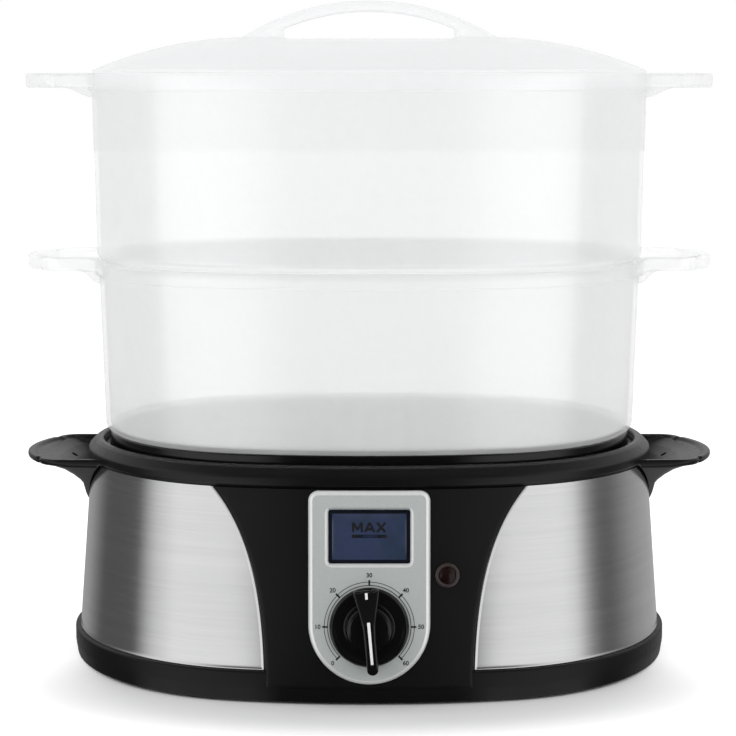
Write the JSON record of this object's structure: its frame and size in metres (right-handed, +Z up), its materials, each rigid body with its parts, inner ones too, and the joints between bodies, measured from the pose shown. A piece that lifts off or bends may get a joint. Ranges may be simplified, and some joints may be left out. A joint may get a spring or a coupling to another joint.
{
  "type": "electric food steamer",
  "caption": "Oval electric food steamer: steel-clad base with timer dial, water tank and heater, stacked translucent baskets with grid floors, drip tray and domed lid.",
  "frame": {"origin": "middle of the base's oval, on the plane that the feet stand on", "axes": "+Z up; +X to the viewer's right along the long axis; the control panel faces -Y"},
  "size_m": [0.354, 0.2414, 0.3343],
  "materials": {
    "black_plastic": "satin black moulded",
    "tank_plastic": "semi-gloss black moulded",
    "tray_plastic": "semi-gloss black moulded",
    "steel": "brushed along the height",
    "rubber": "soft matt",
    "zinc": "zinc plated",
    "plate_metal": "satin stainless",
    "element_metal": "cast",
    "silver_plastic": "silver painted",
    "window": "blue tinted clear",
    "lamp_lens": "dark red lens in a black ring",
    "lamp_glass": "neon bulb",
    "timer_case": "plated sheet",
    "inner_plastic": "natural",
    "knob_plastic": "gloss black",
    "basket_plastic": "frosted translucent",
    "lid_plastic": "frosted translucent, whiter"
  },
  "bodies": {
    "base": {"bottom_cover": "black_plastic", "feet": "rubber", "cover_screws": "zinc", "housing_shell": "black_plastic", "front_panel": "black_plastic", "rear_panel": "black_plastic", "handle_left": "tank_plastic", "handle_right": "tank_plastic", "steel_panel_left": "steel", "steel_panel_right": "steel", "tank_well": "tank_plastic", "water_tank": "tank_plastic", "tank_collar": "tank_plastic", "heating_plate": "plate_metal", "heater_seal": "rubber", "heating_element": "element_metal", "heater_clamp": "zinc", "heater_screws": "zinc", "thermostat": "element_metal", "thermal_fuse": "zinc", "control_bezel": "silver_plastic", "level_window": "window", "gauge_chamber": "inner_plastic", "pilot_lamp_lens": "lamp_lens", "neon_lamp": "lamp_glass", "timer_body": "timer_case", "timer_bell": "timer_case", "timer_screws": "zinc", "cord_gland": "black_plastic", "terminal_block": "inner_plastic"},
    "timer_control": {"timer_knob": "knob_plastic", "timer_shaft": "zinc"},
    "diffuser": {"steam_ring": "inner_plastic"},
    "tray": {"drip_tray": "tray_plastic"},
    "lower_tier": {"lower_basket": "basket_plastic", "lower_foot": "basket_plastic", "lower_ears": "basket_plastic", "lower_basket_floor": "basket_plastic"},
    "upper_tier": {"upper_basket": "basket_plastic", "upper_foot": "basket_plastic", "upper_ears": "basket_plastic", "upper_basket_floor": "basket_plastic"},
    "cover": {"lid": "lid_plastic", "lid_skirt": "lid_plastic", "lid_handle": "lid_plastic"}
  },
  "joints": [
    {"name": "timer_turn", "type": "hinge", "parent": "base", "child": "timer_control", "pos_m": [0, -0.10992, 0.0384], "axis": [0, 0.9953, -0.0973], "range_deg": [0, 315]},
    {"name": "steam_ring_lift", "type": "slide", "parent": "base", "child": "diffuser", "axis": [0, 0, 1], "range_m": [0, 0.02]},
    {"name": "drip_tray_lift", "type": "slide", "parent": "base", "child": "tray", "axis": [0, 0, 1], "range_m": [0, 0.08]},
    {"name": "lower_basket_lift", "type": "slide", "parent": "tray", "child": "lower_tier", "axis": [0, 0, 1], "range_m": [0, 0.08]},
    {"name": "upper_basket_lift", "type": "slide", "parent": "lower_tier", "child": "upper_tier", "axis": [0, 0, 1], "range_m": [0, 0.08]},
    {"name": "lid_lift", "type": "slide", "parent": "upper_tier", "child": "cover", "axis": [0, 0, 1], "range_m": [0, 0.08]}
  ]
}
